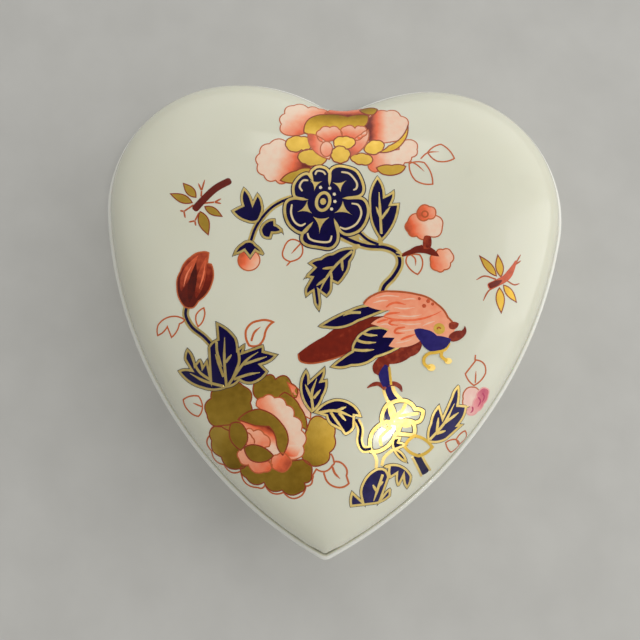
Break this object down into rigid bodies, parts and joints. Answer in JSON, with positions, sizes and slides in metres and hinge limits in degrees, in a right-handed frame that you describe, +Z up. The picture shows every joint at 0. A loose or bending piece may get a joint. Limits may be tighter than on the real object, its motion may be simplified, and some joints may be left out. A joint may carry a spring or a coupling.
{
  "type": "trinket box",
  "caption": "Heart-shaped porcelain trinket box with a domed lift-off lid, painted with flowers and a bird, on a low foot ring.",
  "frame": {"origin": "on the resting plane, under the middle of the box's bounding rectangle", "axes": "+Z up, +Y from the point of the heart towards its cleft, +X to the right seen from above with the point towards the viewer"},
  "size_m": [0.115, 0.118, 0.0431],
  "materials": {
    "porcelain_base": "clear gloss glaze over warm white bone china",
    "porcelain_lid": "clear gloss glaze over warm white bone china, with enamel painting and gilding"
  },
  "bodies": {
    "base": {"base": "porcelain_base"},
    "lid": {"lid": "porcelain_lid"}
  },
  "joints": [
    {"name": "lid_lift", "type": "slide", "parent": "base", "child": "lid", "axis": [0, 0, 1], "range_m": [0, 0.06]}
  ]
}
